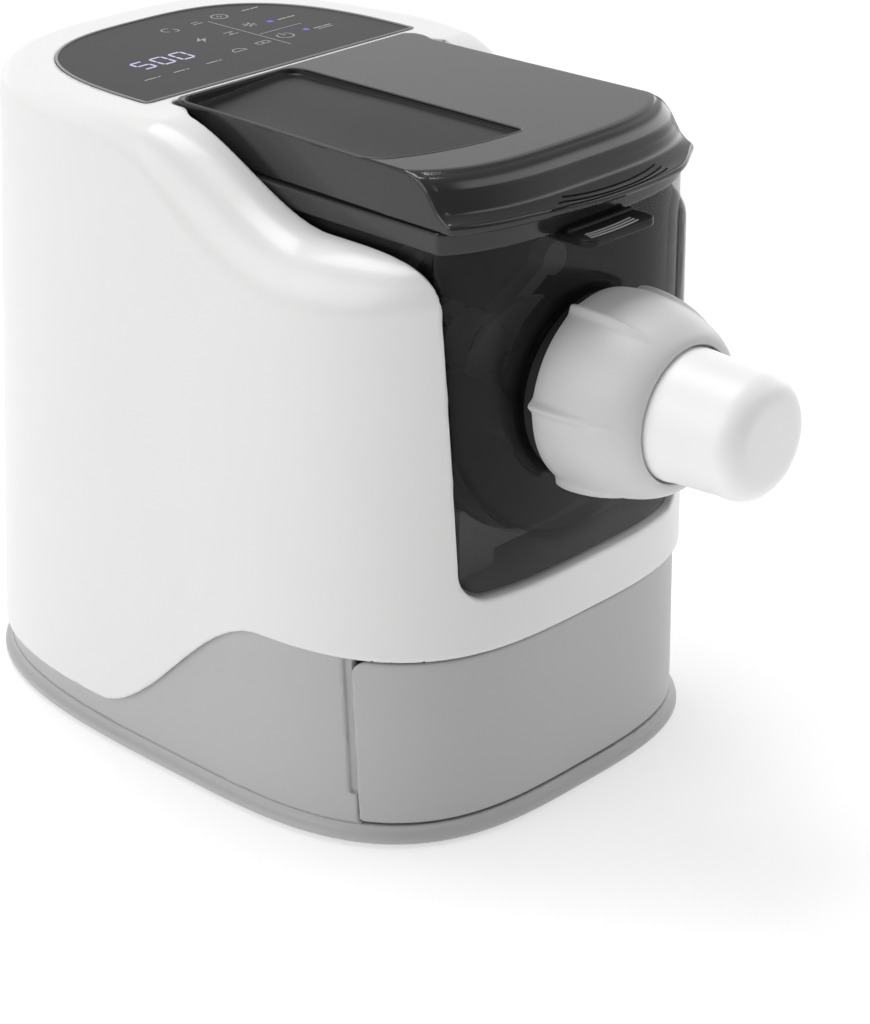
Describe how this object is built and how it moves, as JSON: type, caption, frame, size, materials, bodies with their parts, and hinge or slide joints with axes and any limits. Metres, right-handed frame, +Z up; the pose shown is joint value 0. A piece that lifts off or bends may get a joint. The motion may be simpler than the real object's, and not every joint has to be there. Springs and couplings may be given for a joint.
{
  "type": "electric pasta maker",
  "caption": "Counter-top electric pasta maker: pull-out smoked mixing bowl with hinged lid, shaft and auger, screw-on nozzle with drop outlet, storage drawer, touch panel and geared motor.",
  "frame": {"origin": "centre of the object's box on the surface it stands on", "axes": "+X to the right seen from the front, -Y towards the nozzle and drawer, +Z up"},
  "size_m": [0.2212, 0.3858, 0.2745],
  "materials": {
    "white_gloss": "semi-gloss moulded",
    "white_satin": "smooth moulded",
    "grey_matte": "satin moulded",
    "tray_grey": "satin moulded",
    "black_plastic": "matte moulded",
    "black_rubber": "matte",
    "grey_silicone": "matte",
    "smoked_clear": "smoked transparent, polished",
    "light_grey": "satin moulded",
    "panel_dark": "satin film over glass",
    "display_black": "gloss",
    "circuit_board": "solder mask",
    "steel": "turned",
    "cast_alloy": "die cast",
    "copper_winding": "enamelled winding",
    "bronze": "sintered",
    "gear_nylon": "moulded nylon",
    "lead_red": "insulation"
  },
  "bodies": {
    "housing": {"base_plate": "grey_matte", "rubber_feet": "black_rubber", "base_screws": "steel", "base_shell": "grey_matte", "drawer_rails": "black_plastic", "upper_shell": "white_gloss", "bowl_cradle": "white_satin", "rear_grille": "grey_matte", "power_inlet": "black_plastic", "inlet_pins": "steel", "control_panel": "panel_dark", "display_module": "display_black", "touch_springs": "steel", "control_board": "circuit_board", "power_board": "circuit_board", "reed_switch": "gear_nylon", "motor_can": "cast_alloy", "motor_stator": "copper_winding", "motor_bearings": "steel", "motor_screws": "steel", "gearbox_case": "cast_alloy", "gearbox_cover": "cast_alloy", "gearbox_bearings": "bronze", "gearbox_screws": "steel", "motor_lead": "lead_red"},
    "rotor": {"motor_shaft": "steel", "motor_rotor": "copper_winding", "cooling_fan": "black_plastic", "motor_pinion": "steel"},
    "first_lay": {"first_gear": "gear_nylon", "first_layshaft": "steel"},
    "second_lay": {"second_gear": "gear_nylon", "second_layshaft": "steel"},
    "output": {"output_gear": "gear_nylon", "output_shaft": "steel"},
    "drawer": {"drawer_front": "grey_matte", "drawer_tray": "tray_grey", "drawer_screws": "steel"},
    "bowl": {"mixing_bowl": "smoked_clear", "extruder_barrel": "black_plastic", "barrel_gasket": "black_rubber", "shaft_seal": "black_rubber"},
    "mixer": {"mixing_shaft": "steel", "mixing_paddles": "white_satin", "auger_screw": "white_satin", "drive_socket": "steel"},
    "die": {"die_disc": "bronze", "outlet_hood": "white_satin"},
    "nut": {"locking_nut": "light_grey"},
    "lid": {"lid": "smoked_clear", "lid_gasket": "grey_silicone", "hinge_pins": "steel", "lid_magnet": "steel"}
  },
  "joints": [
    {"name": "bowl_slide", "type": "slide", "parent": "housing", "child": "bowl", "axis": [0, -1, 0], "range_m": [0, 0.17]},
    {"name": "lid_hinge", "type": "hinge", "parent": "bowl", "child": "lid", "pos_m": [0, 0.04502, 0.2665], "axis": [-1, 0, 0], "range_deg": [0, 85]},
    {"name": "nut_turn", "type": "hinge", "parent": "die", "child": "nut", "pos_m": [0, -0.13248, 0.1799], "axis": [0, -1, 0], "range_deg": [0, 1080]},
    {"name": "die_slide", "type": "slide", "parent": "bowl", "child": "die", "axis": [0, -1, 0], "range_m": [0, 0.01201]},
    {"name": "drawer_slide", "type": "slide", "parent": "housing", "child": "drawer", "axis": [0, -1, 0], "range_m": [0, 0.13]},
    {"name": "rotor_spin", "type": "hinge", "parent": "housing", "child": "rotor", "pos_m": [0, 0.14252, 0.075], "axis": [0, -1, 0], "continuous": true},
    {"name": "first_spin", "type": "hinge", "parent": "housing", "child": "first_lay", "pos_m": [0.00672, 0.09252, 0.11646], "axis": [0, -1, 0], "continuous": true},
    {"name": "second_spin", "type": "hinge", "parent": "housing", "child": "second_lay", "pos_m": [-0.035, 0.08252, 0.12964], "axis": [0, -1, 0], "continuous": true},
    {"name": "output_spin", "type": "hinge", "parent": "housing", "child": "output", "pos_m": [0, 0.07252, 0.1799], "axis": [0, -1, 0], "continuous": true},
    {"name": "mixer_spin", "type": "hinge", "parent": "bowl", "child": "mixer", "pos_m": [0, -0.00748, 0.1799], "axis": [0, -1, 0], "continuous": true}
  ],
  "couplings": [
    {"joint": "first_spin", "follows": "rotor_spin", "ratio": -0.16667},
    {"joint": "second_spin", "follows": "rotor_spin", "ratio": 0.041667},
    {"joint": "output_spin", "follows": "rotor_spin", "ratio": -0.010417},
    {"joint": "mixer_spin", "follows": "rotor_spin", "ratio": -0.010417},
    {"joint": "die_slide", "follows": "nut_turn", "m_per_rad": 0.00063662}
  ]
}
